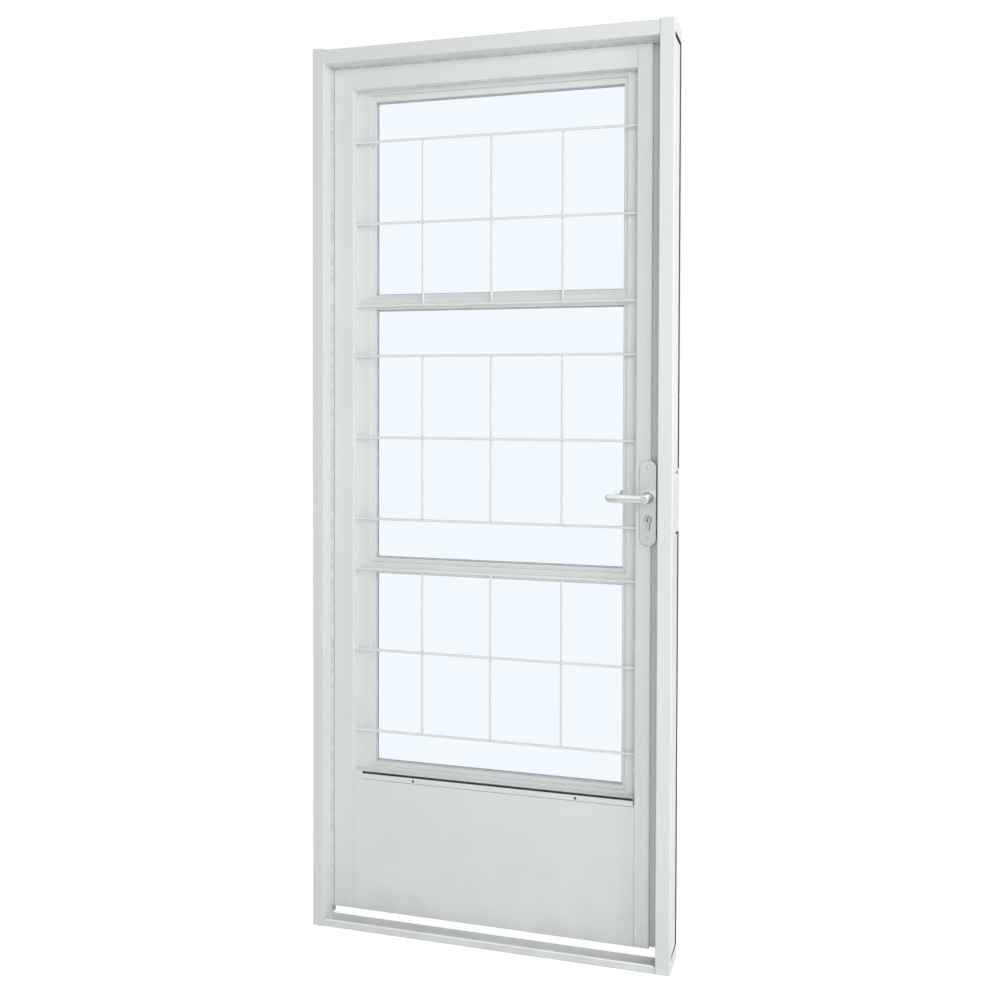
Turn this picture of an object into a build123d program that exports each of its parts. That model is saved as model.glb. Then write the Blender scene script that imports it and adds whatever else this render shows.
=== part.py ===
from build123d import *
import os

os.makedirs("parts", exist_ok=True)

# Steel entry door with a glazed upper part, in millimetres.
# X runs from the hinge side to the lock side, Y from the outside to the inside, Z up.
# The origin is on the floor, in the middle of the threshold's underside.

# Frame
frame_half_width = 446.0
front_y = -22.5
stop_y = 29.5
back_y = 81.5
head_top = 2170.0
jamb_top = 2173.0
sheet = 1.5
bend_radius = 2.5
hinge_stop_x = -415.5
lock_stop_x = 411.5
head_stop_z = 2136.4
hinge_rebate_x = -430.0
lock_rebate_x = 428.0
head_rebate_z = 2151.0
wall_lip_y = 55.5
lip_start_y = -18.5
lip_bottom = 39.0
lip_top = 2130.0
threshold_height = 17.0
corner_plate_spans = {"bottom": (0.0, 29.0), "top": (2144.0, 2173.0)}

# Door leaf
leaf_face_y = 22.5
leaf_flange_y = 34.5
leaf_back_y = back_y
leaf_bottom = 35.0
hinge_flange_x = -425.0
lock_flange_x = 420.5
hinge_face_x = -410.3
lock_face_x = 390.0
face_top = 2131.4
flange_top = 2145.5
opening_left = -356.0
opening_right = 353.8
opening_top = 2079.1
panel_top = 363.5
skin = 1.5
press_radius = 2.0
edge_radius = 4.0

# Glazing behind the opening
sash_y = 50.5
sash_left = -323.5
sash_right = 327.0
sash_top = 2068.8
sash_bottom = 390.0
sash_head_top = 2100.0
groove_left = 1.5
groove_right = 8.0
groove_top = 2.5
groove_depth = 10.0
bead_y = 58.5
bead_left = -312.0
bead_right = 318.0
glass_y = 69.5
glass_thickness = 5.0
glass_gap = 2.0
rail_spans = {"lower": (887.0, 904.5), "upper": (1545.5, 1562.5)}
glass_spans = {
    "bottom": (sash_bottom, 887.0),
    "middle": (904.5, 1545.5),
    "top": (1562.5, sash_top),
}
clear_spans = {
    "bottom": (399.4, 877.2),
    "middle": (914.5, 1535.8),
    "top": (1572.5, 2054.0),
}
strip_gap = 0.8
strip_top = 377.5
drip_top = 383.0
drip_lip = 1.6
drip_shadow = 8.0

# Grille of round rods
rod_radius = 3.1
rod_y = 37.5
upright_y = rod_y + 2 * rod_radius - 0.3
rod_pitch = 202.7
grille_tops = {"bottom": 888.7, "middle": 1419.8, "top": 1950.5}
upright_xs = [-180.0, -3.6, 173.4]

# Lock furniture
plate_x = 382.5
plate_z = 1074.2
plate_width = 40.3
plate_height = 199.5
plate_arch = 14.0
plate_thickness = 2.5
handle_z = 1087.0
keyhole_z = 1036.0
plug_radius = 8.5
cylinder_web = 5.0
cylinder_height = 33.0
cylinder_proud = 5.0
cylinder_gap = 0.8
neck_radius = 10.0
neck_rounding = 2.5
running_gap = 0.05
collar_radius = 13.5
collar_height = 5.0
lever_reach = 92.0
lever_stand = 46.0
lever_return = 16.0
grip_sizes = {0.0: (18.6, 8.5), 0.45: (19.4, 9.0), 0.8: (18.2, 8.0), 1.0: (13.0, 6.0)}
spindle_size = 8.0
spindle_hole_radius = 7.0

# Lock edge
lock_mid_y = 53.5
forend_width = 20.0
forend_bottom = 965.0
forend_top = 1185.0
forend_thickness = 3.0
bolt_thickness = 14.0
latch_span = (1094.0, 1112.0)
dead_bolt_span = (1024.0, 1054.0)
bolt_length = 22.0
strike_gap = 1.5
strike_bottom = 985.0
strike_top = 1185.0
strike_width = 34.0
strike_box_span = (1026.0, 1154.0)
strike_box_front_y = 34.0
strike_box_wall = 1.5
relief_radius = 3.5

# Hinges
hinge_zs = {"lower": 290.0, "middle": 1090.0, "upper": 1890.0}
hinge_height = 100.0
hinge_x = -427.5
knuckle_radius = 7.5
pin_radius = 4.0
hinge_plate = 2.5
knuckle_gap = 0.4


# Helpers
def save(piece, name):
    piece.part.label = name
    export_step(piece.part, f"parts/{name}.step")


def rectangle_between(low, high, mode=Mode.ADD):
    width = high[0] - low[0]
    height = high[1] - low[1]
    with Locations(((low[0] + high[0]) / 2, (low[1] + high[1]) / 2)):
        Rectangle(width, height, mode=mode)


def jamb_outline(outer, stop, rebate):
    return [
        (outer, wall_lip_y),
        (outer, front_y),
        (stop, front_y),
        (stop, stop_y),
        (rebate, stop_y),
        (rebate, back_y),
        (outer, back_y),
    ]


def lip_ends():
    rectangle_between((lip_start_y, -1), (wall_lip_y + 1, lip_bottom))
    rectangle_between((lip_start_y, lip_top), (wall_lip_y + 1, jamb_top + 1))


# Hinge jamb, a bent sheet that leaves an open slot along its wall side
with BuildPart() as hinge_jamb:
    with BuildSketch(Plane.XY):
        with BuildLine():
            FilletPolyline(
                *jamb_outline(-frame_half_width, hinge_stop_x, hinge_rebate_x),
                radius=bend_radius,
            )
            offset(amount=sheet, side=Side.RIGHT)
        make_face()
    extrude(amount=jamb_top)
    with BuildSketch(Plane.YZ.offset(-frame_half_width - 1)):
        lip_ends()
    extrude(amount=sheet + 2, mode=Mode.SUBTRACT)
save(hinge_jamb, "hinge_jamb")

# Lock jamb, with a window for the strike plate in its rebate and one for the strike box
with BuildPart() as lock_jamb:
    with BuildSketch(Plane.XY):
        with BuildLine():
            FilletPolyline(
                *jamb_outline(frame_half_width, lock_stop_x, lock_rebate_x),
                radius=bend_radius,
            )
            offset(amount=sheet, side=Side.LEFT)
        make_face()
    extrude(amount=jamb_top)
    with BuildSketch(Plane.YZ.offset(lock_rebate_x - 1)):
        with Locations((lock_mid_y, (strike_bottom + strike_top) / 2)):
            RectangleRounded(strike_width, strike_top - strike_bottom, 4)
    extrude(amount=sheet + 2, mode=Mode.SUBTRACT)
    with BuildSketch(Plane.YZ.offset(frame_half_width - sheet - 1)):
        lip_ends()
        rectangle_between(
            (strike_box_front_y, strike_box_span[0]),
            (wall_lip_y + 1, strike_box_span[1]),
        )
        relief_y = strike_box_front_y + relief_radius
        with Locations([(relief_y, box_end) for box_end in strike_box_span]):
            Circle(relief_radius)
    extrude(amount=sheet + 2, mode=Mode.SUBTRACT)
save(lock_jamb, "lock_jamb")

# Frame head, the same bent sheet between the jambs, notched round their stops
head_outline = [
    (wall_lip_y, head_top),
    (front_y, head_top),
    (front_y, head_stop_z),
    (stop_y, head_stop_z),
    (stop_y, head_rebate_z),
    (back_y, head_rebate_z),
    (back_y, head_top),
]
with BuildPart() as frame_head:
    with BuildSketch(Plane.YZ.offset(hinge_rebate_x)):
        with BuildLine():
            FilletPolyline(*head_outline, radius=bend_radius)
            offset(amount=sheet, side=Side.RIGHT)
        make_face()
    extrude(amount=lock_rebate_x - hinge_rebate_x)
    with BuildSketch(Plane.XY.offset(head_stop_z - 1)):
        notch_back = stop_y + bend_radius
        rectangle_between((hinge_rebate_x - 1, front_y - 1), (hinge_stop_x, notch_back))
        rectangle_between((lock_stop_x, front_y - 1), (lock_rebate_x + 1, notch_back))
    extrude(amount=jamb_top - head_stop_z, mode=Mode.SUBTRACT)
save(frame_head, "frame_head")

# Threshold, a channel open upward between the jambs
threshold_outline = [
    (front_y, threshold_height),
    (front_y, 0),
    (-front_y, 0),
    (-front_y, threshold_height),
]
with BuildPart() as threshold:
    with BuildSketch(Plane.YZ.offset(hinge_stop_x)):
        with BuildLine():
            FilletPolyline(*threshold_outline, radius=bend_radius)
            offset(amount=sheet, side=Side.LEFT)
        make_face()
    extrude(amount=lock_stop_x - hinge_stop_x)
save(threshold, "threshold")

# Corner plates, flush in the jambs' wall sides at both ends
plate_sides = {"left": -frame_half_width, "right": frame_half_width - sheet}
for level, (corner_bottom, corner_top) in corner_plate_spans.items():
    for side, plate_start in plate_sides.items():
        with BuildPart() as corner_plate:
            with BuildSketch(Plane.YZ.offset(plate_start)):
                rectangle_between((lip_start_y, corner_bottom), (back_y - sheet, corner_top))
            extrude(amount=sheet)
        save(corner_plate, f"corner_plate_{level}_{side}")

# Strike plate, flush in the lock jamb's rebate
with BuildPart() as strike_plate:
    with BuildSketch(Plane.YZ.offset(lock_rebate_x)):
        with Locations((lock_mid_y, (strike_bottom + strike_top) / 2)):
            RectangleRounded(strike_width, strike_top - strike_bottom, 4)
        for bolt_span in (latch_span, dead_bolt_span):
            with Locations((lock_mid_y, sum(bolt_span) / 2)):
                Rectangle(
                    bolt_thickness + 2 * strike_gap,
                    bolt_span[1] - bolt_span[0] + 2 * strike_gap,
                    mode=Mode.SUBTRACT,
                )
    extrude(amount=sheet)
save(strike_plate, "strike_plate")

# Strike box, flush with the lock jamb's wall side and open toward the leaf
strike_box_height = strike_box_span[1] - strike_box_span[0]
with BuildPart() as strike_box:
    with BuildSketch(Plane.YZ.offset(lock_rebate_x + sheet)):
        rectangle_between(
            (strike_box_front_y, strike_box_span[0]),
            (back_y - bend_radius, strike_box_span[1]),
        )
    extrude(amount=frame_half_width - lock_rebate_x - sheet)
    box_mouth = strike_box.faces().sort_by(Axis.X)[0]
    offset(amount=-strike_box_wall, openings=box_mouth)
save(strike_box, "strike_box")


# Stiles of the leaf, closed hollow sections with a rebated outer edge
def stile(inner_x, face_x, flange_x):
    with BuildPart() as body:
        with BuildSketch(Plane.XY.offset(leaf_bottom)):
            rectangle_between(
                (min(inner_x, flange_x), leaf_flange_y),
                (max(inner_x, flange_x), leaf_back_y),
            )
        extrude(amount=flange_top - leaf_bottom)
        with BuildSketch(Plane.XY.offset(leaf_bottom)):
            rectangle_between(
                (min(inner_x, face_x), leaf_face_y),
                (max(inner_x, face_x), leaf_flange_y),
            )
        extrude(amount=face_top - leaf_bottom)
        for edge_x, radius in ((inner_x, press_radius), (face_x, edge_radius)):
            upright_edges = body.edges().filter_by(Axis.Z)
            raised_corner = (edge_x, leaf_face_y, leaf_bottom)
            fillet(upright_edges.sort_by_distance(raised_corner)[0], radius)
        outside = body.edges().filter_by(Axis.Z).group_by(Axis.Y)[-1]
        fillet(outside, press_radius)
    return body.part


def stile_hollow(inner_x, face_x, bottom, top):
    low = min(inner_x, face_x) + skin
    high = max(inner_x, face_x) - skin
    with BuildPart() as hollow:
        with BuildSketch(Plane.XY.offset(bottom)):
            rectangle_between((low, leaf_face_y + skin), (high, leaf_back_y - skin))
        extrude(amount=top - bottom)
    return hollow.part


with BuildPart() as hinge_stile:
    add(stile(opening_left, hinge_face_x, hinge_flange_x))
    add(
        stile_hollow(opening_left, hinge_face_x, leaf_bottom + skin, face_top - skin),
        mode=Mode.SUBTRACT,
    )
save(hinge_stile, "hinge_stile")


# Lock stile, solid at the lock, with holes for the spindle, the cylinder and the bolts
def cylinder_outline(clearance):
    lobe_z = keyhole_z + plug_radius - cylinder_height + cylinder_web
    with BuildSketch(Plane.XZ) as outline:
        with Locations((plate_x, keyhole_z)):
            Circle(plug_radius + clearance)
        with Locations((plate_x, lobe_z)):
            Circle(cylinder_web + clearance)
        with Locations((plate_x, (keyhole_z + lobe_z) / 2)):
            Rectangle(2 * (cylinder_web + clearance), keyhole_z - lobe_z)
    return outline.sketch


with BuildPart() as lock_stile:
    add(stile(opening_right, lock_face_x, lock_flange_x))
    for bottom, top in (
        (leaf_bottom + skin, forend_bottom - 10),
        (forend_top + 10, face_top - skin),
    ):
        add(stile_hollow(opening_right, lock_face_x, bottom, top), mode=Mode.SUBTRACT)
    with BuildSketch(Plane.XZ.offset(-leaf_back_y - 1)):
        with Locations((plate_x, handle_z)):
            Circle(spindle_hole_radius)
        add(cylinder_outline(cylinder_gap))
    extrude(amount=leaf_back_y - leaf_face_y + 2, mode=Mode.SUBTRACT)
    with BuildSketch(Plane.YZ.offset(lock_flange_x)):
        with Locations((lock_mid_y, (forend_bottom + forend_top) / 2)):
            RectangleRounded(forend_width, forend_top - forend_bottom, 6)
    extrude(amount=-forend_thickness, mode=Mode.SUBTRACT)
    with BuildSketch(Plane.YZ.offset(lock_flange_x)):
        for bolt_span in (latch_span, dead_bolt_span):
            with Locations((lock_mid_y, sum(bolt_span) / 2)):
                Rectangle(bolt_thickness, bolt_span[1] - bolt_span[0])
    extrude(amount=-bolt_length, mode=Mode.SUBTRACT)
save(lock_stile, "lock_stile")

# Top rail between the stiles
top_rail_outline = [
    (leaf_face_y, opening_top),
    (sash_y, opening_top),
    (sash_y, sash_head_top),
    (leaf_back_y, sash_head_top),
    (leaf_back_y, flange_top),
    (leaf_flange_y, flange_top),
    (leaf_flange_y, face_top),
    (leaf_face_y, face_top),
]
with BuildPart() as top_rail:
    with BuildSketch(Plane.YZ.offset(opening_left)):
        with BuildLine():
            Polyline(*top_rail_outline, close=True)
        make_face()
        offset(amount=-skin, kind=Kind.INTERSECTION, mode=Mode.SUBTRACT)
    extrude(amount=opening_right - opening_left)
save(top_rail, "top_rail")

# Lower panel, a closed box of sheet between the stiles
with BuildPart() as lower_panel:
    with BuildSketch(Plane.XY.offset(leaf_bottom)):
        rectangle_between((opening_left, leaf_face_y), (opening_right, leaf_back_y))
    extrude(amount=panel_top - leaf_bottom)
    with BuildSketch(Plane.XY.offset(leaf_bottom + skin)):
        rectangle_between(
            (opening_left + skin, leaf_face_y + skin),
            (opening_right - skin, leaf_back_y - skin),
        )
    extrude(amount=panel_top - leaf_bottom - 2 * skin, mode=Mode.SUBTRACT)
save(lower_panel, "lower_panel")

# Sill strip over the panel, and the drip sill that leaves a dark joint above it
with BuildPart() as sill_strip:
    with BuildSketch(Plane.YZ.offset(opening_left)):
        rectangle_between((leaf_face_y, panel_top + strip_gap), (sash_y, strip_top))
    extrude(amount=opening_right - opening_left)
save(sill_strip, "sill_strip")

drip_outline = [
    (leaf_face_y, drip_top - drip_lip),
    (leaf_face_y, drip_top - drip_lip / 2),
    (sash_y, drip_top),
    (sash_y, strip_top),
    (leaf_face_y + drip_shadow, strip_top),
    (leaf_face_y + drip_shadow, drip_top - drip_lip),
]
with BuildPart() as drip_sill:
    with BuildSketch(Plane.YZ.offset(opening_left)):
        with BuildLine():
            Polyline(*drip_outline, close=True)
        make_face()
    extrude(amount=opening_right - opening_left)
save(drip_sill, "drip_sill")

# Sash ring, with a groove along the stiles and the top rail, and its cross rails
with BuildPart() as sash_ring:
    with BuildSketch(Plane.XZ.offset(-sash_y)):
        rectangle_between((opening_left, panel_top), (opening_right, sash_head_top))
        rectangle_between(
            (sash_left, sash_bottom),
            (sash_right, sash_top),
            mode=Mode.SUBTRACT,
        )
    extrude(amount=-(leaf_back_y - sash_y))
    with BuildSketch(Plane.XZ.offset(-sash_y)):
        rectangle_between((opening_left, panel_top), (opening_right, sash_head_top))
        rectangle_between(
            (opening_left + groove_left, panel_top),
            (opening_right - groove_right, opening_top - groove_top),
            mode=Mode.SUBTRACT,
        )
    extrude(amount=-groove_depth, mode=Mode.SUBTRACT)
save(sash_ring, "sash_ring")

for level, (rail_bottom, rail_top) in rail_spans.items():
    with BuildPart() as sash_rail:
        with BuildSketch(Plane.XZ.offset(-sash_y)):
            rectangle_between((sash_left, rail_bottom), (sash_right, rail_top))
        extrude(amount=-(leaf_back_y - sash_y))
    save(sash_rail, f"sash_rail_{level}")

# Glazing beads in front of and behind each pane
bead_depths = {"outer": (bead_y, glass_y), "inner": (glass_y + glass_thickness, leaf_back_y)}
for level, (glass_bottom, glass_top) in glass_spans.items():
    clear_bottom, clear_top = clear_spans[level]
    for side, (bead_front, bead_back) in bead_depths.items():
        with BuildPart() as bead:
            with BuildSketch(Plane.XZ.offset(-bead_front)):
                rectangle_between((sash_left, glass_bottom), (sash_right, glass_top))
                rectangle_between(
                    (bead_left, clear_bottom),
                    (bead_right, clear_top),
                    mode=Mode.SUBTRACT,
                )
            extrude(amount=-(bead_back - bead_front))
        save(bead, f"{side}_bead_{level}")
    with BuildPart() as pane:
        with BuildSketch(Plane.XZ.offset(-glass_y)):
            rectangle_between(
                (sash_left + glass_gap, glass_bottom + glass_gap),
                (sash_right - glass_gap, glass_top - glass_gap),
            )
        extrude(amount=-glass_thickness)
    save(pane, f"glass_{level}")

# Grille of three rods and three uprights in front of each pane
for level, first_rod_z in grille_tops.items():
    last_rod_z = first_rod_z - 2 * rod_pitch
    with BuildPart() as grille:
        with BuildSketch(Plane.YZ.offset(opening_left)):
            with Locations([(rod_y, first_rod_z - row * rod_pitch) for row in range(3)]):
                Circle(rod_radius)
        extrude(amount=opening_right - opening_left)
        with BuildSketch(Plane.XY.offset(last_rod_z)):
            with Locations([(upright_x, upright_y) for upright_x in upright_xs]):
                Circle(rod_radius)
        extrude(amount=first_rod_z - last_rod_z)
    save(grille, f"grille_{level}")


# Lock plates with arched ends, a collar for the lever and a hole for the cylinder
def plate_outline():
    left = plate_x - plate_width / 2
    right = plate_x + plate_width / 2
    bottom = plate_z - plate_height / 2
    top = plate_z + plate_height / 2
    with BuildSketch(Plane.XZ) as outline:
        with BuildLine():
            ThreePointArc((left, top - plate_arch), (plate_x, top), (right, top - plate_arch))
            Line((right, top - plate_arch), (right, bottom + plate_arch))
            ThreePointArc((right, bottom + plate_arch), (plate_x, bottom), (left, bottom + plate_arch))
            Line((left, bottom + plate_arch), (left, top - plate_arch))
        make_face()
    return outline.sketch


def lock_plate(face_y, outward):
    face = Plane.XZ.offset(-face_y)
    with BuildPart() as plate:
        with BuildSketch(face):
            add(plate_outline())
        extrude(amount=outward * plate_thickness)
        rim = plate.faces().filter_by(Axis.Y).sort_by(Axis.Y, reverse=outward < 0)[0]
        fillet(rim.edges(), plate_thickness / 2)
        with BuildSketch(face):
            with Locations((plate_x, handle_z)):
                Circle(collar_radius)
        extrude(amount=outward * (plate_thickness + collar_height))
        with BuildSketch(face):
            with Locations((plate_x, handle_z)):
                Circle(neck_radius + running_gap)
            add(cylinder_outline(cylinder_gap))
        extrude(amount=outward * (plate_thickness + collar_height), mode=Mode.SUBTRACT)
    return plate


save(lock_plate(leaf_face_y, 1), "lock_plate_outside")
save(lock_plate(leaf_back_y, -1), "lock_plate_inside")

# Key cylinder through the stile
with BuildPart() as key_cylinder:
    cylinder_start = leaf_face_y - plate_thickness - cylinder_proud
    cylinder_end = leaf_back_y + plate_thickness + cylinder_proud
    with BuildSketch(Plane.XZ.offset(-cylinder_start)):
        add(cylinder_outline(0))
    extrude(amount=-(cylinder_end - cylinder_start))
    with BuildSketch(Plane.XZ.offset(-cylinder_start)):
        with Locations((plate_x, keyhole_z)):
            Circle(plug_radius - 1.8)
            Circle(plug_radius - 2.1, mode=Mode.SUBTRACT)
            Rectangle(2.4, 9)
    extrude(amount=-4, mode=Mode.SUBTRACT)
save(key_cylinder, "key_cylinder")


# Lever handles, with a round neck in the collar and an oval grip that is swept through
# sections of changing size and curves back to the leaf at its tip
def lever(plate_face_y, outward):
    stand_y = plate_face_y - outward * lever_stand
    with BuildPart() as handle:
        with BuildSketch(Plane.XZ.offset(-plate_face_y)):
            with Locations((plate_x, handle_z)):
                Circle(neck_radius)
        extrude(amount=outward * (lever_stand + grip_sizes[0.0][1] / 2))
        neck_end = handle.faces().filter_by(Axis.Y).sort_by(Axis.Y, reverse=outward < 0)[0]
        fillet(neck_end.edges(), neck_rounding)
        with BuildLine() as path:
            Spline(
                (plate_x, stand_y, handle_z),
                (plate_x - lever_reach / 2, stand_y, handle_z),
                (plate_x - 0.85 * lever_reach, stand_y + outward * 0.15 * lever_return, handle_z),
                (plate_x - lever_reach, stand_y + outward * lever_return, handle_z),
                tangents=((-1, 0, 0), (-0.1, outward, 0)),
            )
        spine = path.wire()
        for share, (grip_height, grip_thickness) in grip_sizes.items():
            section_plane = Plane(
                origin=spine @ share,
                x_dir=(0, 0, 1),
                z_dir=spine % share,
            )
            with BuildSketch(section_plane):
                Ellipse(grip_height / 2, grip_thickness / 2)
        sweep(path=spine, multisection=True)
    return handle


with BuildPart() as lever_outside:
    add(lever(leaf_face_y - plate_thickness, 1).part)
save(lever_outside, "lever_outside")
with BuildPart() as lever_inside:
    add(lever(leaf_back_y + plate_thickness, -1).part)
save(lever_inside, "lever_inside")

# Spindle between the levers
with BuildPart() as spindle:
    with BuildSketch(Plane.XZ.offset(-(leaf_face_y - plate_thickness))):
        with Locations((plate_x, handle_z)):
            Rectangle(spindle_size, spindle_size)
    extrude(amount=-(leaf_back_y - leaf_face_y + 2 * plate_thickness))
save(spindle, "spindle")

# Lock forend and the drawn-back bolts in the leaf's edge
with BuildPart() as lock_forend:
    with BuildSketch(Plane.YZ.offset(lock_flange_x)):
        with Locations((lock_mid_y, (forend_bottom + forend_top) / 2)):
            RectangleRounded(forend_width, forend_top - forend_bottom, 6)
        for bolt_span in (latch_span, dead_bolt_span):
            with Locations((lock_mid_y, sum(bolt_span) / 2)):
                Rectangle(
                    bolt_thickness,
                    bolt_span[1] - bolt_span[0],
                    mode=Mode.SUBTRACT,
                )
    extrude(amount=-forend_thickness)
save(lock_forend, "lock_forend")

for name, bolt_span in {"latch": latch_span, "dead_bolt": dead_bolt_span}.items():
    with BuildPart() as bolt:
        with BuildSketch(Plane.YZ.offset(lock_flange_x)):
            with Locations((lock_mid_y, sum(bolt_span) / 2)):
                Rectangle(bolt_thickness, bolt_span[1] - bolt_span[0])
        extrude(amount=-bolt_length)
    save(bolt, name)


# Butt hinges, with two knuckles and the pin on the frame and one knuckle on the leaf
knuckle_y = back_y + knuckle_radius
third = hinge_height / 3
for level, hinge_z in hinge_zs.items():
    hinge_bottom = hinge_z - hinge_height / 2
    with BuildPart() as frame_hinge:
        for knuckle_bottom in (hinge_bottom, hinge_bottom + 2 * third):
            with BuildSketch(Plane.XY.offset(knuckle_bottom)):
                with Locations((hinge_x, knuckle_y)):
                    Circle(knuckle_radius)
                rectangle_between(
                    (1 - frame_half_width, back_y),
                    (hinge_x, back_y + hinge_plate),
                )
            extrude(amount=third)
        with BuildSketch(Plane.XY.offset(hinge_bottom)):
            rectangle_between(
                (1 - frame_half_width, back_y),
                (hinge_x - knuckle_radius - 1, back_y + hinge_plate),
            )
        extrude(amount=hinge_height)
        with BuildSketch(Plane.XY.offset(hinge_bottom)):
            with Locations((hinge_x, knuckle_y)):
                Circle(pin_radius)
        extrude(amount=hinge_height)
    save(frame_hinge, f"frame_hinge_{level}")
    with BuildPart() as leaf_hinge:
        with BuildSketch(Plane.XY.offset(hinge_bottom + third + knuckle_gap)):
            with Locations((hinge_x, knuckle_y)):
                Circle(knuckle_radius)
            rectangle_between(
                (hinge_x, leaf_back_y),
                (hinge_x + 2 * knuckle_radius, leaf_back_y + hinge_plate),
            )
            with Locations((hinge_x, knuckle_y)):
                Circle(pin_radius + running_gap, mode=Mode.SUBTRACT)
        extrude(amount=third - 2 * knuckle_gap)
        with BuildSketch(Plane.XY.offset(hinge_bottom)):
            rectangle_between(
                (hinge_x + knuckle_radius + 2, leaf_back_y),
                (hinge_x + 45, leaf_back_y + hinge_plate),
            )
        extrude(amount=hinge_height)
    save(leaf_hinge, f"leaf_hinge_{level}")
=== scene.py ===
import math

import bmesh
import bpy
from mathutils import Matrix, Vector


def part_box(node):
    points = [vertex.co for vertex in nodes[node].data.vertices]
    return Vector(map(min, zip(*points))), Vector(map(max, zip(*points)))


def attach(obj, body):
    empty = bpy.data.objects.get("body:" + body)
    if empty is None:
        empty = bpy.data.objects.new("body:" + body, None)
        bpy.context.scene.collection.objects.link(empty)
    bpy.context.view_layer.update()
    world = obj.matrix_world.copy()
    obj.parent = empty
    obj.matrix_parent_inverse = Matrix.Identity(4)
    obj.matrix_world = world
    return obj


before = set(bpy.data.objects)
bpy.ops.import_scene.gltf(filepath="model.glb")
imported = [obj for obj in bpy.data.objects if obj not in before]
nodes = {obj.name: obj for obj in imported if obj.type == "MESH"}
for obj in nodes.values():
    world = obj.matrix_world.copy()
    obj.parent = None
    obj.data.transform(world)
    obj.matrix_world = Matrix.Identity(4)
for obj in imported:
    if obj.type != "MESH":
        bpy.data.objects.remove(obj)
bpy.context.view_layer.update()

# Places on the CAD model. Lengths are in metres and angles in degrees.
lock_axis_x = 0.3825
handle_z = 1.087
key_z = 1.036
jamb_side_x = 0.446
jamb_front_y = -0.0225
jamb_step_y = 0.0295
jamb_back_y = 0.0815
hinge_stop_x, hinge_rebate_x = -0.4155, -0.430
lock_stop_x, lock_rebate_x = 0.4115, 0.428
head_stop_z = 2.1364
stop_bottom_z = 0.0365
levels = ("bottom", "middle", "top")


# Node helpers
def new_material(name):
    material = bpy.data.materials.new(name)
    material.use_nodes = True
    tree = material.node_tree
    tree.nodes.clear()
    output = tree.nodes.new("ShaderNodeOutputMaterial")
    return material, tree, output


def noise(tree, vector, scale, detail=3.0, roughness=0.5):
    node = tree.nodes.new("ShaderNodeTexNoise")
    node.inputs["Scale"].default_value = scale
    node.inputs["Detail"].default_value = detail
    node.inputs["Roughness"].default_value = roughness
    tree.links.new(vector, node.inputs["Vector"])
    return node.outputs["Fac"]


def remap(tree, value, source, target):
    node = tree.nodes.new("ShaderNodeMapRange")
    node.inputs["From Min"].default_value, node.inputs["From Max"].default_value = source
    node.inputs["To Min"].default_value, node.inputs["To Max"].default_value = target
    tree.links.new(value, node.inputs["Value"])
    return node.outputs["Result"]


def mix_color(tree, factor, color_a, color_b):
    node = tree.nodes.new("ShaderNodeMix")
    node.data_type = "RGBA"
    tree.links.new(factor, node.inputs[0])
    for socket, color in ((node.inputs[6], color_a), (node.inputs[7], color_b)):
        if isinstance(color, tuple):
            socket.default_value = (*color, 1.0)
        else:
            tree.links.new(color, socket)
    return node.outputs[2]


def math_node(tree, operation, a, b):
    node = tree.nodes.new("ShaderNodeMath")
    node.operation = operation
    for socket, value in ((node.inputs[0], a), (node.inputs[1], b)):
        if isinstance(value, float):
            socket.default_value = value
        else:
            tree.links.new(value, socket)
    return node.outputs[0]


def object_vector(tree, scale=(1.0, 1.0, 1.0)):
    coordinates = tree.nodes.new("ShaderNodeTexCoord")
    mapping = tree.nodes.new("ShaderNodeMapping")
    mapping.inputs["Scale"].default_value = scale
    tree.links.new(coordinates.outputs["Object"], mapping.inputs["Vector"])
    return mapping.outputs["Vector"]


def principled(tree, output):
    shader = tree.nodes.new("ShaderNodeBsdfPrincipled")
    tree.links.new(shader.outputs["BSDF"], output.inputs["Surface"])
    return shader


def add_bump(tree, shader, height, strength, distance):
    bump = tree.nodes.new("ShaderNodeBump")
    bump.inputs["Strength"].default_value = strength
    bump.inputs["Distance"].default_value = distance
    tree.links.new(height, bump.inputs["Height"])
    tree.links.new(bump.outputs["Normal"], shader.inputs["Normal"])


# Powder-coated sheet: slight mottling and streaks, fine orange peel, dust near the floor
speck_color = (0.52, 0.53, 0.5)
speck_share = 0.10
streak_stretch = (26.0, 26.0, 1.4)
streak_share = 0.25
dust_color = (0.47, 0.45, 0.41)
dust_height = 0.35
dust_share = 0.22
paint_gloss = 0.3


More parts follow.
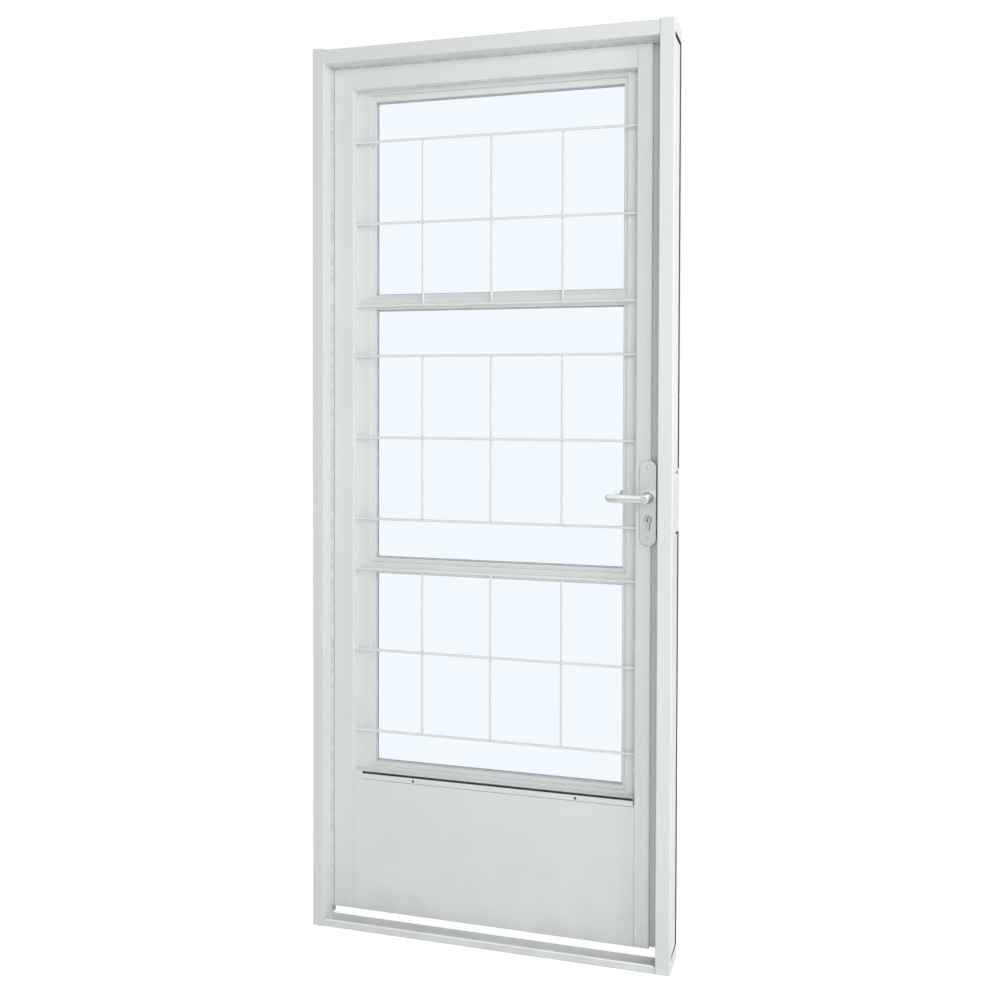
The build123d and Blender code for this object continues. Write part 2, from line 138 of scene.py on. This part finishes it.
def paint(name, color, shade, peel=0.05, roughness=0.36):
    material, tree, output = new_material(name)
    vector = object_vector(tree)
    shader = principled(tree, output)

    mottle = remap(tree, noise(tree, vector, 2.3, 4.0), (0.35, 0.65), (0.0, 1.0))
    base = mix_color(tree, mottle, color, shade)
    streaks = noise(tree, object_vector(tree, streak_stretch), 1.0)
    streaks = remap(tree, streaks, (0.45, 0.75), (0.0, streak_share))
    base = mix_color(tree, streaks, base, shade)
    specks = noise(tree, vector, 420.0, 1.0)
    specks = remap(tree, specks, (0.62, 0.8), (0.0, speck_share))
    base = mix_color(tree, specks, base, speck_color)

    coordinates = tree.nodes.new("ShaderNodeTexCoord")
    separate = tree.nodes.new("ShaderNodeSeparateXYZ")
    tree.links.new(coordinates.outputs["Object"], separate.inputs["Vector"])
    low = remap(tree, separate.outputs["Z"], (0.0, dust_height), (1.0, 0.0))
    patchy = remap(tree, noise(tree, vector, 14.0, 4.0), (0.4, 0.7), (0.0, 1.0))
    dust = math_node(tree, "MULTIPLY", low, patchy)
    dust = math_node(tree, "MULTIPLY", dust, dust_share)
    base = mix_color(tree, dust, base, dust_color)
    tree.links.new(base, shader.inputs["Base Color"])

    gloss_range = (roughness - 0.05, roughness + 0.08)
    gloss = remap(tree, noise(tree, vector, 9.0, 4.0), (0.3, 0.7), gloss_range)
    tree.links.new(gloss, shader.inputs["Roughness"])
    shader.inputs["Specular IOR Level"].default_value = paint_gloss
    add_bump(tree, shader, noise(tree, vector, 650.0, 2.0), peel, 0.001)
    return material


# Satin stainless steel, brushed along the direction with the smallest scale
def satin_steel(name, color, brushing, roughness=0.3):
    material, tree, output = new_material(name)
    shader = principled(tree, output)
    shader.inputs["Metallic"].default_value = 1.0
    lines = noise(tree, object_vector(tree, brushing), 1.0, 4.0, 0.6)
    smudge = noise(tree, object_vector(tree), 38.0)
    dark = tuple(0.82 * channel for channel in color)
    base = mix_color(tree, remap(tree, lines, (0.3, 0.7), (0.0, 1.0)), dark, color)
    base = mix_color(tree, remap(tree, smudge, (0.5, 0.8), (0.0, 0.3)), base, dark)
    tree.links.new(base, shader.inputs["Base Color"])
    rough = remap(tree, lines, (0.3, 0.7), (roughness + 0.1, roughness - 0.04))
    tree.links.new(rough, shader.inputs["Roughness"])
    add_bump(tree, shader, lines, 0.12, 0.0004)
    return material


# Lightly obscured pane: light comes through softened, with a faint blue cast.
# Gloss and refraction share one IOR, so the pane stays clear at steep angles.
def window_glass(name):
    material, tree, output = new_material(name)
    vector = object_vector(tree)
    pane_ior = 1.12
    soft = tree.nodes.new("ShaderNodeBsdfRefraction")
    tint = remap(tree, noise(tree, vector, 3.0, 2.0), (0.3, 0.7), (0.0, 1.0))
    color = mix_color(tree, tint, (0.944, 0.975, 1.0), (0.938, 0.971, 0.998))
    tree.links.new(color, soft.inputs["Color"])
    soft.inputs["IOR"].default_value = pane_ior
    rough = remap(tree, noise(tree, vector, 24.0), (0.3, 0.7), (0.50, 0.56))
    tree.links.new(rough, soft.inputs["Roughness"])
    glossy = tree.nodes.new("ShaderNodeBsdfGlossy")
    glossy.inputs["Color"].default_value = (0.9, 0.95, 1.0, 1.0)
    glossy.inputs["Roughness"].default_value = 0.12
    fresnel = tree.nodes.new("ShaderNodeFresnel")
    fresnel.inputs["IOR"].default_value = pane_ior
    mixer = tree.nodes.new("ShaderNodeMixShader")
    tree.links.new(fresnel.outputs["Fac"], mixer.inputs["Fac"])
    tree.links.new(soft.outputs["BSDF"], mixer.inputs[1])
    tree.links.new(glossy.outputs["BSDF"], mixer.inputs[2])
    tree.links.new(mixer.outputs["Shader"], output.inputs["Surface"])
    return material


# Dull, mottled surface: rubber seals, dark pins, and dark surfaces that are painted shade in
# the sill's joint and gaps, in slits, in the key slot and inside the jambs
def dull_surface(name, color, roughness=0.7):
    material, tree, output = new_material(name)
    shader = principled(tree, output)
    vector = object_vector(tree)
    shade = tuple(0.8 * channel for channel in color)
    mottle = remap(tree, noise(tree, vector, 60.0), (0.35, 0.65), (0.0, 1.0))
    tree.links.new(mix_color(tree, mottle, color, shade), shader.inputs["Base Color"])
    rough_range = (roughness - 0.08, roughness + 0.1)
    rough = remap(tree, noise(tree, vector, 130.0, 2.0), (0.3, 0.7), rough_range)
    tree.links.new(rough, shader.inputs["Roughness"])
    add_bump(tree, shader, noise(tree, vector, 900.0, 2.0), 0.15, 0.0003)
    return material


frame_paint = paint("frame_paint", (0.71, 0.74, 0.73), (0.685, 0.715, 0.705))
leaf_paint = paint("leaf_paint", (0.715, 0.745, 0.735), (0.69, 0.72, 0.71))
grille_paint = paint("grille_paint", (0.76, 0.785, 0.775), (0.73, 0.755, 0.745), peel=0.03)
# A paler copy of the paint: painted highlight on the threshold's lip
highlight_paint = paint("highlight_paint", (0.95, 0.96, 0.95), (0.90, 0.92, 0.91))
plate_steel = satin_steel("plate_steel", (0.81, 0.84, 0.81), (900.0, 900.0, 30.0))
rim_painted_shade = satin_steel("rim_painted_shade", (0.42, 0.43, 0.41), (400.0, 400.0, 400.0), 0.4)
lever_steel = satin_steel("lever_steel", (0.88, 0.91, 0.88), (30.0, 900.0, 900.0), 0.2)
zinc = satin_steel("zinc", (0.62, 0.63, 0.63), (140.0, 140.0, 140.0), 0.4)
glass = window_glass("glass_pane")
glazing_seal = dull_surface("glazing_seal", (0.58, 0.60, 0.60))
gasket_rubber = dull_surface("gasket_rubber", (0.66, 0.68, 0.67))
# Paler than the paint: painted light in the sash's groove
groove_painted_light = dull_surface("groove_painted_light", (0.86, 0.88, 0.87))
channel_painted_shade = dull_surface("channel_painted_shade", (0.13, 0.13, 0.125), 0.6)
joint_painted_shade = dull_surface("joint_painted_shade", (0.018, 0.018, 0.02))
gap_painted_shade = dull_surface("gap_painted_shade", (0.16, 0.165, 0.165))
# The dark of the sill pins, also used as painted shade in the key slot and the strike box's
# slits
dark_pin_and_shade = dull_surface("dark_pin_and_shade", (0.03, 0.03, 0.032), 0.45)


# Materials of the CAD nodes, by the start of a node's name. The rest is the painted leaf.
node_materials = (
    (("glass",), glass),
    (("grille",), grille_paint),
    (("hinge_jamb", "lock_jamb", "frame_head", "threshold", "strike_box"), frame_paint),
    (("corner_plate", "frame_hinge"), frame_paint),
    (("lever",), lever_steel),
    (("lock_plate", "lock_forend", "strike_plate"), plate_steel),
    (("spindle", "latch", "dead_bolt", "key_cylinder"), zinc),
)


def material_for(name):
    for starts, material in node_materials:
        if name.startswith(starts):
            return material
    return leaf_paint


for name, node in nodes.items():
    node.data.materials.clear()
    node.data.materials.append(material_for(name))


# Faces of a node that get a second material
def paint_faces(name, material, chosen):
    mesh = nodes[name].data
    mesh.materials.append(material)
    for polygon in mesh.polygons:
        if chosen(polygon):
            polygon.material_index = len(mesh.materials) - 1


def distance_from_axis(point, axis_z):
    return math.hypot(point.x - lock_axis_x, point.z - axis_z)


# Picks the faces inside a bent jamb: those that lie deeper than its outer surface. They are
# painted dark as painted shade inside the channel.
def inside_jamb(side, stop_x, rebate_x):
    def chosen(polygon):
        point = polygon.center
        inner_x = stop_x if point.y < jamb_step_y else rebate_x
        depths = (
            jamb_side_x - side * point.x,
            side * (point.x - inner_x),
            point.y - jamb_front_y,
            jamb_back_y - point.y,
        )
        return min(depths) > 0.001

    return chosen


# The walls of the key slot, painted dark as painted shade in the slot
def key_slot(polygon):
    point = polygon.center
    return 0.0155 < point.y < 0.020 and distance_from_axis(point, key_z) < 0.0082


# A lock plate's rim, holes and collar, painted darker than its face: painted shade on the rim
# and holes, and a painted dark reflection on the collar
def plate_edge(polygon):
    on_collar = distance_from_axis(polygon.center, handle_z) < 0.0138
    return on_collar or abs(polygon.normal.y) < 0.94


# The faces inside the jambs are painted dark: painted shade in the channels
paint_faces("lock_jamb", channel_painted_shade, inside_jamb(1, lock_stop_x, lock_rebate_x))
paint_faces("hinge_jamb", channel_painted_shade, inside_jamb(-1, hinge_stop_x, hinge_rebate_x))
# The key slot's walls are painted dark: painted shade in the slot
paint_faces("key_cylinder", dark_pin_and_shade, key_slot)
# The lock plates' rims and holes get painted shade, their collars a painted dark reflection
paint_faces("lock_plate_outside", rim_painted_shade, plate_edge)
paint_faces("lock_plate_inside", rim_painted_shade, plate_edge)


# Eased edges on the pressed and folded pieces
def ease_edges(names, width):
    for name in names:
        bevel = nodes[name].modifiers.new("eased_edges", "BEVEL")
        bevel.width = width
        bevel.segments = 2
        bevel.limit_method = "ANGLE"
        bevel.angle_limit = math.radians(50)
        bevel.harden_normals = True


beads = [f"{side}_bead_{level}" for side in ("outer", "inner") for level in levels]
ease_edges(["lower_panel", "top_rail", "sash_rail_lower", "sash_rail_upper"], 0.0008)
ease_edges(["sill_strip", "sash_ring", *beads], 0.0006)
ease_edges(["latch", "dead_bolt"], 0.0004)


# Small pieces: seals, painted closing pieces, screws and pins
def add_piece(name, mesh, material, body):
    bmesh.ops.recalc_face_normals(mesh, faces=mesh.faces)
    data = bpy.data.meshes.new(name)
    mesh.to_mesh(data)
    mesh.free()
    for polygon in data.polygons:
        polygon.use_smooth = True
    data.set_sharp_from_angle(angle=math.radians(45))
    data.materials.append(material)
    piece = bpy.data.objects.new(name, data)
    bpy.context.scene.collection.objects.link(piece)
    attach(piece, body)


# Side faces between two closed loops of vertices
def join_loops(mesh, loop, following):
    for a, b, c, d in zip(loop, following, following[1:] + following[:1], loop[1:] + loop[:1]):
        mesh.faces.new((a, b, c, d))


# A strip of a given cross-section that runs round a rectangle in x and z, with mitred
# corners. The section lists (distance inward from the rectangle, rise from the wall).
def ring_strip(name, low, high, wall_y, outward, section, material, body):
    mesh = bmesh.new()
    corners = (
        (low[0], low[1], 1, 1),
        (high[0], low[1], -1, 1),
        (high[0], high[1], -1, -1),
        (low[0], high[1], 1, -1),
    )
    loops = []
    for x, z, inward_x, inward_z in corners:
        loops.append([
            mesh.verts.new((
                x + inward_x * inward,
                wall_y + outward * rise,
                z + inward_z * inward,
            ))
            for inward, rise in section
        ])
    for loop, following in zip(loops, loops[1:] + loops[:1]):
        join_loops(mesh, loop, following)
    add_piece(name, mesh, material, body)


# A straight bar of a given outline, from its start along its run, closed at both ends
def bar(name, outline, start, run, material, body):
    mesh = bmesh.new()
    near = [mesh.verts.new(Vector(start) + Vector(point)) for point in outline]
    far = [mesh.verts.new(vertex.co + Vector(run)) for vertex in near]
    join_loops(mesh, near, far)
    mesh.faces.new(near)
    mesh.faces.new(far)
    add_piece(name, mesh, material, body)


# A bar with square edges, given by its ranges in x, y and z
def square_bar(name, xs, ys, zs, material, body):
    outline = (
        (xs[0], ys[0], 0.0),
        (xs[1], ys[0], 0.0),
        (xs[1], ys[1], 0.0),
        (xs[0], ys[1], 0.0),
    )
    bar(name, outline, (0.0, 0.0, zs[0]), (0.0, 0.0, zs[1] - zs[0]), material, body)


# A domed screw head with a slot or a cross sunk into it. The profile lists (share of the
# radius, share of the dome's height) from the flat top down to the rim.
screw_sides = 28
screw_profile = ((0.3, 1.0), (0.6, 0.92), (0.85, 0.62), (0.97, 0.3), (1.0, 0.0), (0.96, -0.5))


def screw(name, place, direction, radius, material, body, turn=0.0, cross=True):
    mesh = bmesh.new()
    height = 0.32 * radius
    angles = [math.tau * step / screw_sides for step in range(screw_sides)]
    loops = []
    for share, rise in screw_profile:
        reach = share * radius
        loops.append([
            mesh.verts.new((reach * math.cos(angle), reach * math.sin(angle), rise * height))
            for angle in angles
        ])
    mesh.faces.new(loops[0])
    mesh.faces.new(loops[-1])
    for loop, following in zip(loops, loops[1:]):
        join_loops(mesh, loop, following)

    half_width = 0.13 * radius
    half_length = 0.58 * radius if cross else 0.98 * radius
    for normal in ((1, 0, 0), (0, 1, 0)):
        for offset in (-half_length, -half_width, half_width, half_length):
            point = tuple(offset * part for part in normal)
            geometry = list(mesh.verts) + list(mesh.edges) + list(mesh.faces)
            bmesh.ops.bisect_plane(mesh, geom=geometry, plane_co=point, plane_no=normal)
    recess = []
    for face in mesh.faces:
        middle = face.calc_center_median()
        along = abs(middle.x) < half_width and abs(middle.y) < half_length
        across = cross and abs(middle.y) < half_width and abs(middle.x) < half_length
        if (along or across) and middle.z > 0:
            recess.append(face)
    grown = bmesh.ops.extrude_face_region(mesh, geom=recess)
    sunk = [part for part in grown["geom"] if isinstance(part, bmesh.types.BMVert)]
    bmesh.ops.translate(mesh, verts=sunk, vec=(0, 0, -1.1 * height))
    bmesh.ops.delete(mesh, geom=recess, context="FACES_ONLY")

    spin = Matrix.Rotation(math.radians(turn), 4, "Z")
    facing = Vector(direction).to_track_quat("Z", "Y").to_matrix().to_4x4()
    placed = Matrix.Translation(place) @ facing @ spin
    bmesh.ops.transform(mesh, matrix=placed, verts=mesh.verts)
    add_piece(name, mesh, material, body)


# Seals round the panes, on both sides
seal_section = (
    (0.0, 0.00005),
    (0.0, 0.0016),
    (0.0009, 0.0024),
    (0.0022, 0.0020),
    (0.0030, 0.00005),
)
clear_left, clear_right = -0.312, 0.318
clear_heights = {
    "bottom": (0.3994, 0.8772),
    "middle": (0.9145, 1.5358),
    "top": (1.5725, 2.054),
}
for level, (clear_bottom, clear_top) in clear_heights.items():
    pane_low, pane_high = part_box(f"glass_{level}")
    low, high = (clear_left, clear_bottom), (clear_right, clear_top)
    for side, wall_y, outward in (("outer", pane_low[1], -1), ("inner", pane_high[1], 1)):
        name = f"seal_{side}_{level}"
        ring_strip(name, low, high, wall_y, outward, seal_section, glazing_seal, "door")

# Dark seals over, beside and under the sill strip: painted shade in the joint and the gaps
# round it.
# The strip ends short of the hinge stile, where a painted block flush with the leaf closes it.
strip_low, strip_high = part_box("sill_strip")
strip_face_y = strip_low[1]
strip_depth = 0.0078
block_xs = (-0.3558, -0.3312)
seal_left = block_xs[1] + 0.0002
joint_right = 0.3490
joint_section = (
    (0.0, 0.0, 0.0),
    (0.0, -0.0076, 0.0001),
    (0.0, -0.0084, 0.0008),
    (0.0, -0.0084, 0.0040),
    (0.0, -0.0076, 0.0048),
    (0.0, 0.0, 0.0048),
)
joint_start = (seal_left, strip_face_y + strip_depth, strip_high[2])
joint_run = (joint_right - seal_left, 0.0, 0.0)
# Dark strips in the joint and gaps: painted shade
bar("sill_joint_shade", joint_section, joint_start, joint_run, joint_painted_shade, "door")
turn_ys = (strip_face_y - 0.0004, strip_face_y + 0.006)
square_bar("sill_joint_turn_shade", (0.3512, 0.3534), turn_ys, (0.3665, 0.3830), gap_painted_shade, "door")
gap_ys = (strip_face_y - 0.0001, strip_face_y + 0.0015)
square_bar("sill_gap_shade", (seal_left, 0.3508), gap_ys, (0.3634, 0.3644), gap_painted_shade, "door")
block_ys = (strip_face_y - 0.00005, strip_face_y + strip_depth)
square_bar("sill_end_block", block_xs, block_ys, (0.3640, 0.3832), leaf_paint, "door")

# Seals in the groove round the sash, paler than the paint: painted light that lifts the shade
# in the groove
groove_ys = (0.0507, 0.0580)
groove_seals = {
    "hinge": ((-0.3559, -0.3546), (0.3845, 2.0760)),
    "lock": ((0.3459, 0.3537), (0.3845, 2.0760)),
    "head": ((-0.3559, 0.3537), (2.0768, 2.0790)),
}
for side, (xs, zs) in groove_seals.items():
    square_bar(f"groove_seal_{side}", xs, groove_ys, zs, groove_painted_light, "door")


# D-shaped gasket on the frame's stops, clear of the leaf on three sides. Its outline
# lists (distance from the stop, depth from the gasket's middle).
def gasket_outline(radius, arc_steps=10):
    points = [(0.0, -radius)]
    for step in range(arc_steps + 1):
        angle = math.pi * (step / arc_steps - 0.5)
        points.append((radius * (1 + math.cos(angle)), radius * math.sin(angle)))
    points.append((0.0, radius))
    return points


side_gasket = gasket_outline(0.0032)
head_gasket = gasket_outline(0.0022)
side_gasket_y, head_gasket_y = 0.0215, 0.0240
side_run = (0.0, 0.0, 2.1318 - stop_bottom_z)
for side, stop_x, inward in (("hinge", hinge_stop_x, 1), ("lock", lock_stop_x, -1)):
    outline = [(inward * across, deep, 0.0) for across, deep in side_gasket]
    start = (stop_x, side_gasket_y, stop_bottom_z)
    bar(f"stop_gasket_{side}", outline, start, side_run, gasket_rubber, "frame")
outline = [(0.0, deep, -across) for across, deep in head_gasket]
start = (hinge_stop_x, head_gasket_y, head_stop_z)
head_run = (lock_stop_x - hinge_stop_x, 0.0, 0.0)
bar("stop_gasket_head", outline, start, head_run, gasket_rubber, "frame")

# Rolled lip along the threshold's front wall, in a paler paint: a painted highlight where its
# top catches the light
threshold_low, threshold_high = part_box("threshold")
lip_section = (
    (0.0, 0.0, -0.0006),
    (0.0, 0.0, 0.0012),
    (0.0, 0.0006, 0.0021),
    (0.0, 0.0016, 0.0021),
    (0.0, 0.0022, 0.0012),
    (0.0, 0.0022, -0.0006),
)
lip_start = (-0.4110, threshold_low[1] - 0.00005, threshold_high[2])
bar("threshold_lip", lip_section, lip_start, (0.8180, 0.0, 0.0), highlight_paint, "frame")

# Painted foot that closes the slot under the strike box, and dark slits at its ends that are
# painted shadow of the gaps there
foot_xs, foot_ys, foot_zs = (0.4446, 0.4459), (0.0560, 0.0800), (1.0062, 1.0266)
square_bar("strike_box_foot", foot_xs, foot_ys, foot_zs, frame_paint, "frame")
slit_xs, slit_ys = (0.4455, jamb_side_x + 0.00005), (0.0300, 0.0552)
slit_height = 0.0062
for level, low_z in (("lower", 1.0030), ("upper", 1.1430)):
    slit_zs = (low_z, low_z + slit_height)
    square_bar(f"strike_box_shade_slit_{level}", slit_xs, slit_ys, slit_zs, dark_pin_and_shade, "frame")

# Dark pins in the sill strip
pin_radius = 0.0031
for number, x in enumerate((-0.197, 0.213)):
    place = (x, strip_face_y, 0.3700)
    turn = 20.0 + 40 * number
    screw(f"sill_pin_{number}", place, (0, -1, 0), pin_radius, dark_pin_and_shade, "door", turn)

# Screws of the lock plates, which stand on the plates' faces under the collars
collar_height = 0.005
plate_screw_radius = 0.0036
for side, outward in (("outside", -1), ("inside", 1)):
    plate_low, plate_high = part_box(f"lock_plate_{side}")
    face_y = plate_low[1] + collar_height if outward < 0 else plate_high[1] - collar_height
    for number, z in enumerate((1.1558, 0.9953)):
        name = f"plate_screw_{side}_{number}"
        place = (lock_axis_x, face_y, z)
        facing = (0, outward, 0)
        turn = 35.0 + 70 * number
        screw(name, place, facing, plate_screw_radius, zinc, "door", turn, cross=False)

# Screws of the hinges: owner of the leaf, its body and the screws' columns
hinge_leaf_thickness = 0.0025
hinge_screw_radius = 0.0032
screw_rises = (-0.036, 0.0, 0.036)
hinge_leaves = (("leaf", "door", (-0.4085, -0.3925)), ("frame", "frame", (-0.4405,)))
for level in ("lower", "middle", "upper"):
    for owner, body, xs in hinge_leaves:
        plate_low, plate_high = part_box(f"{owner}_hinge_{level}")
        face_y = plate_low[1] + hinge_leaf_thickness
        middle_z = (plate_low[2] + plate_high[2]) / 2
        for column, x in enumerate(xs):
            spread = 1.0 if column else 0.8
            for row, rise in enumerate(screw_rises):
                name = f"{owner}_hinge_screw_{level}_{column}_{row}"
                place = (x, face_y, middle_z + rise * spread)
                turn = 15.0 + 31 * row + 50 * column
                screw(name, place, (0, 1, 0), hinge_screw_radius, zinc, body, turn)

# Screws of the strike plate and the forend
edge_screw_y = 0.0535
edge_screw_radius = 0.0034
for number, z in enumerate((0.992, 1.178)):
    place = (0.4280, edge_screw_y, z)
    turn = 25.0 + 40 * number
    screw(f"strike_screw_{number}", place, (-1, 0, 0), edge_screw_radius, zinc, "frame", turn)
for number, z in enumerate((0.973, 1.177)):
    place = (0.4205, edge_screw_y, z)
    turn = 65.0 - 40 * number
    screw(f"forend_screw_{number}", place, (1, 0, 0), edge_screw_radius, zinc, "door", turn)


# Pale floor. It keeps the object's shadow, glows toward the camera so that it turns
# white away from the object, and is plain white through the panes.
def make_floor():
    half_size = 14.0
    below = -0.0005
    near, far = 0.5, 2.4
    near_glow, far_glow = 0.50, 0.82
    mesh = bpy.data.meshes.new("floor")
    signs = ((-1, -1), (1, -1), (1, 1), (-1, 1))
    corners = [(half_size * x, half_size * y, below) for x, y in signs]
    mesh.from_pydata(corners, [], [(0, 1, 2, 3)])
    floor = bpy.data.objects.new("floor", mesh)
    bpy.context.scene.collection.objects.link(floor)

    material, tree, output = new_material("pale_floor")
    diffuse = tree.nodes.new("ShaderNodeBsdfDiffuse")
    diffuse.inputs["Color"].default_value = (0.93, 0.93, 0.93, 1.0)
    path = tree.nodes.new("ShaderNodeLightPath")
    distance = tree.nodes.new("ShaderNodeVectorMath")
    distance.operation = "LENGTH"
    tree.links.new(object_vector(tree), distance.inputs[0])
    reach = remap(tree, distance.outputs["Value"], (near, far), (near_glow, far_glow))
    strength = math_node(tree, "MULTIPLY", path.outputs["Is Camera Ray"], reach)
    glow = tree.nodes.new("ShaderNodeEmission")
    tree.links.new(strength, glow.inputs["Strength"])
    adder = tree.nodes.new("ShaderNodeAddShader")
    tree.links.new(diffuse.outputs["BSDF"], adder.inputs[0])
    tree.links.new(glow.outputs["Emission"], adder.inputs[1])
    plain_white = tree.nodes.new("ShaderNodeEmission")
    chooser = tree.nodes.new("ShaderNodeMixShader")
    tree.links.new(path.outputs["Is Transmission Ray"], chooser.inputs["Fac"])
    tree.links.new(adder.outputs["Shader"], chooser.inputs[1])
    tree.links.new(plain_white.outputs["Emission"], chooser.inputs[2])
    tree.links.new(chooser.outputs["Shader"], output.inputs["Surface"])
    mesh.materials.append(material)


# Soft light from all round. The camera, the panes and the metal see plain white.
def make_world():
    light_strength, seen_strength = 0.43, 1.0
    world = bpy.data.worlds.new("studio")
    bpy.context.scene.world = world
    world.use_nodes = True
    tree = world.node_tree
    tree.nodes.clear()
    output = tree.nodes.new("ShaderNodeOutputWorld")
    background = tree.nodes.new("ShaderNodeBackground")
    background.inputs["Color"].default_value = (1.0, 1.0, 1.0, 1.0)
    rays = tree.nodes.new("ShaderNodeLightPath").outputs
    seen = math_node(tree, "MAXIMUM", rays["Is Camera Ray"], rays["Is Transmission Ray"])
    seen = math_node(tree, "MAXIMUM", seen, rays["Is Glossy Ray"])
    strength = remap(tree, seen, (0.0, 1.0), (light_strength, seen_strength))
    tree.links.new(strength, background.inputs["Strength"])
    tree.links.new(background.outputs["Background"], output.inputs["Surface"])


def area_light(name, location, target, size, power, reflected=True):
    light = bpy.data.lights.new(name, "AREA")
    light.shape = "RECTANGLE"
    light.size, light.size_y = size
    light.energy = power
    lamp = bpy.data.objects.new(name, light)
    lamp.location = location
    aim = Vector(target) - Vector(location)
    lamp.rotation_euler = aim.to_track_quat("-Z", "Y").to_euler()
    lamp.visible_camera = False
    lamp.visible_transmission = False
    lamp.visible_glossy = reflected
    bpy.context.scene.collection.objects.link(lamp)


make_floor()
make_world()
area_light("key_light", (1.6, -3.0, 2.6), (0.1, 0.0, 1.3), (2.0, 1.6), 42.0)
area_light("fill_light", (1.0, -3.2, 0.8), (0.1, 0.0, 1.2), (1.8, 1.2), 16.0, reflected=False)
area_light("side_light", (3.2, -0.7, 1.7), (0.2, 0.0, 1.1), (2.0, 2.4), 50.0)
area_light("back_light", (-1.4, 3.4, 3.0), (0.0, 0.0, 1.1), (3.0, 2.0), 62.0)


# Camera at the photograph's viewing angle, with about half the shift that its framing has
camera_data = bpy.data.cameras.new("camera")
camera_data.lens = 41.84
camera_data.sensor_width = 36.0
camera_data.shift_y = -0.08
camera = bpy.data.objects.new("camera", camera_data)
camera.location = (0.8273, -2.6453, 1.3178)
camera.rotation_euler = [math.radians(angle) for angle in (88.89, -0.162, 16.741)]
bpy.context.scene.collection.objects.link(camera)
bpy.context.scene.camera = camera
bpy.context.scene.view_settings.view_transform = "Standard"
